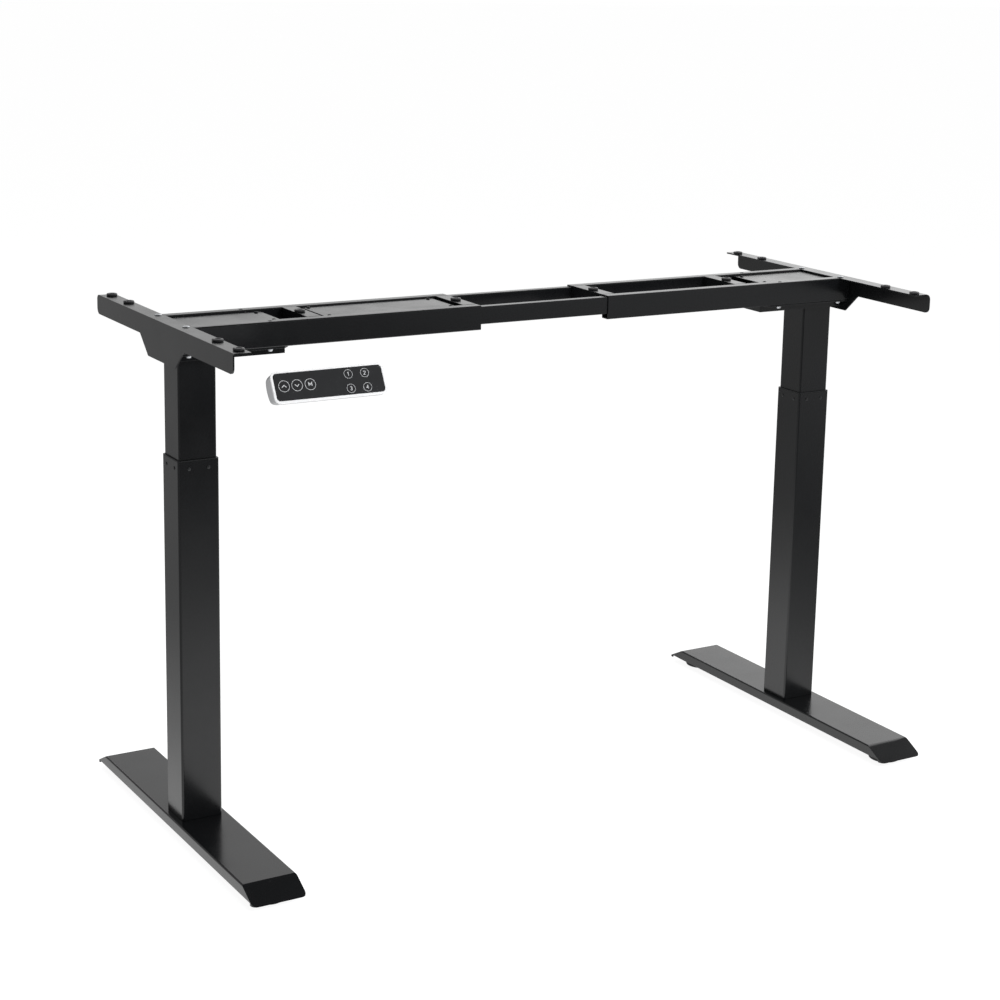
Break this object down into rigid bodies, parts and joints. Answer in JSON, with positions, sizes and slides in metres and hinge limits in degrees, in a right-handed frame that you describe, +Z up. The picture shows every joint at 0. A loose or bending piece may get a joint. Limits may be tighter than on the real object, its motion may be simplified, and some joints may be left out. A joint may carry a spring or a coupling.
{
  "type": "height adjustable standing desk",
  "caption": "Motorised standing desk frame with telescopic square legs, flat feet, widening rails, side brackets and a tilted touch handset; takes a separate desk top.",
  "frame": {"origin": "floor level, midway between the two legs", "axes": "+X runs along the desk to the user's right, -Y faces the user, +Z up"},
  "size_m": [1.368, 0.7012, 0.889],
  "materials": {
    "powder_coat": "smooth semi-gloss black powder coat",
    "zinc_steel": "bright zinc plate",
    "rubber": "matt moulded rubber",
    "black_plastic": "fine moulded texture",
    "silver_plastic": "satin silver paint on plastic",
    "face_plastic": "gloss black touch panel"
  },
  "bodies": {
    "left_leg": {"left_foot": "powder_coat", "left_outer_column": "powder_coat", "left_slide_bushing": "black_plastic", "left_push_tube": "zinc_steel", "left_spindle_nut": "black_plastic"},
    "left_glide_front": {"left_glide_front": "rubber"},
    "left_glide_rear": {"left_glide_rear": "rubber"},
    "left_frame": {"left_inner_column": "powder_coat", "left_column_tray": "powder_coat", "left_gearbox": "black_plastic", "left_motor": "zinc_steel", "left_motor_cover": "powder_coat", "left_side_bracket": "powder_coat", "left_bracket_screw_front": "zinc_steel", "left_bracket_screw_rear": "zinc_steel", "left_rail_front": "powder_coat", "left_rail_rear": "powder_coat", "left_cross_plate_mid": "powder_coat", "left_cross_plate_end": "powder_coat", "left_pad_mid": "rubber", "left_pad_end": "rubber", "left_pad_1": "rubber", "left_pad_2": "rubber", "left_pad_3": "rubber", "left_pad_4": "rubber", "control_box_housing": "black_plastic", "control_box_lid": "powder_coat", "handset_housing": "silver_plastic", "handset_bezel": "silver_plastic", "handset_face": "face_plastic"},
    "left_screw": {"left_lead_screw": "zinc_steel"},
    "center_rails": {"center_rail_front": "powder_coat", "center_rail_rear": "powder_coat"},
    "right_frame": {"right_inner_column": "powder_coat", "right_column_tray": "powder_coat", "right_gearbox": "black_plastic", "right_motor": "zinc_steel", "right_motor_cover": "powder_coat", "right_side_bracket": "powder_coat", "right_bracket_screw_front": "zinc_steel", "right_bracket_screw_rear": "zinc_steel", "right_rail_front": "powder_coat", "right_rail_rear": "powder_coat", "right_cross_plate_mid": "powder_coat", "right_cross_plate_end": "powder_coat", "right_pad_mid": "rubber", "right_pad_end": "rubber", "right_pad_1": "rubber", "right_pad_2": "rubber", "right_pad_3": "rubber", "right_pad_4": "rubber"},
    "right_screw": {"right_lead_screw": "zinc_steel"},
    "right_leg": {"right_foot": "powder_coat", "right_outer_column": "powder_coat", "right_slide_bushing": "black_plastic", "right_push_tube": "zinc_steel", "right_spindle_nut": "black_plastic"},
    "right_glide_front": {"right_glide_front": "rubber"},
    "right_glide_rear": {"right_glide_rear": "rubber"}
  },
  "joints": [
    {"name": "left_lift", "type": "slide", "parent": "left_leg", "child": "left_frame", "axis": [0, 0, 1], "range_m": [-0.155, 0.345]},
    {"name": "left_width", "type": "slide", "parent": "left_frame", "child": "center_rails", "axis": [1, 0, 0], "range_m": [-0.127, 0.216]},
    {"name": "right_width", "type": "slide", "parent": "center_rails", "child": "right_frame", "axis": [1, 0, 0], "range_m": [-0.127, 0.216]},
    {"name": "right_lift", "type": "slide", "parent": "right_frame", "child": "right_leg", "axis": [0, 0, -1], "range_m": [-0.155, 0.345]},
    {"name": "left_screw_spin", "type": "hinge", "parent": "left_frame", "child": "left_screw", "pos_m": [-0.6354, 0, 0.53], "axis": [0, 0, 1], "continuous": true},
    {"name": "right_screw_spin", "type": "hinge", "parent": "right_frame", "child": "right_screw", "pos_m": [0.6354, 0, 0.53], "axis": [0, 0, 1], "continuous": true},
    {"name": "left_front_level", "type": "slide", "parent": "left_leg", "child": "left_glide_front", "axis": [0, 0, -1], "range_m": [0, 0.012]},
    {"name": "left_rear_level", "type": "slide", "parent": "left_leg", "child": "left_glide_rear", "axis": [0, 0, -1], "range_m": [0, 0.012]},
    {"name": "right_front_level", "type": "slide", "parent": "right_leg", "child": "right_glide_front", "axis": [0, 0, -1], "range_m": [0, 0.012]},
    {"name": "right_rear_level", "type": "slide", "parent": "right_leg", "child": "right_glide_rear", "axis": [0, 0, -1], "range_m": [0, 0.012]}
  ],
  "couplings": [
    {"joint": "right_lift", "follows": "left_lift", "ratio": 1},
    {"joint": "left_screw_spin", "follows": "left_lift", "rad_per_m": 628.32},
    {"joint": "right_screw_spin", "follows": "left_lift", "rad_per_m": 628.32}
  ]
}
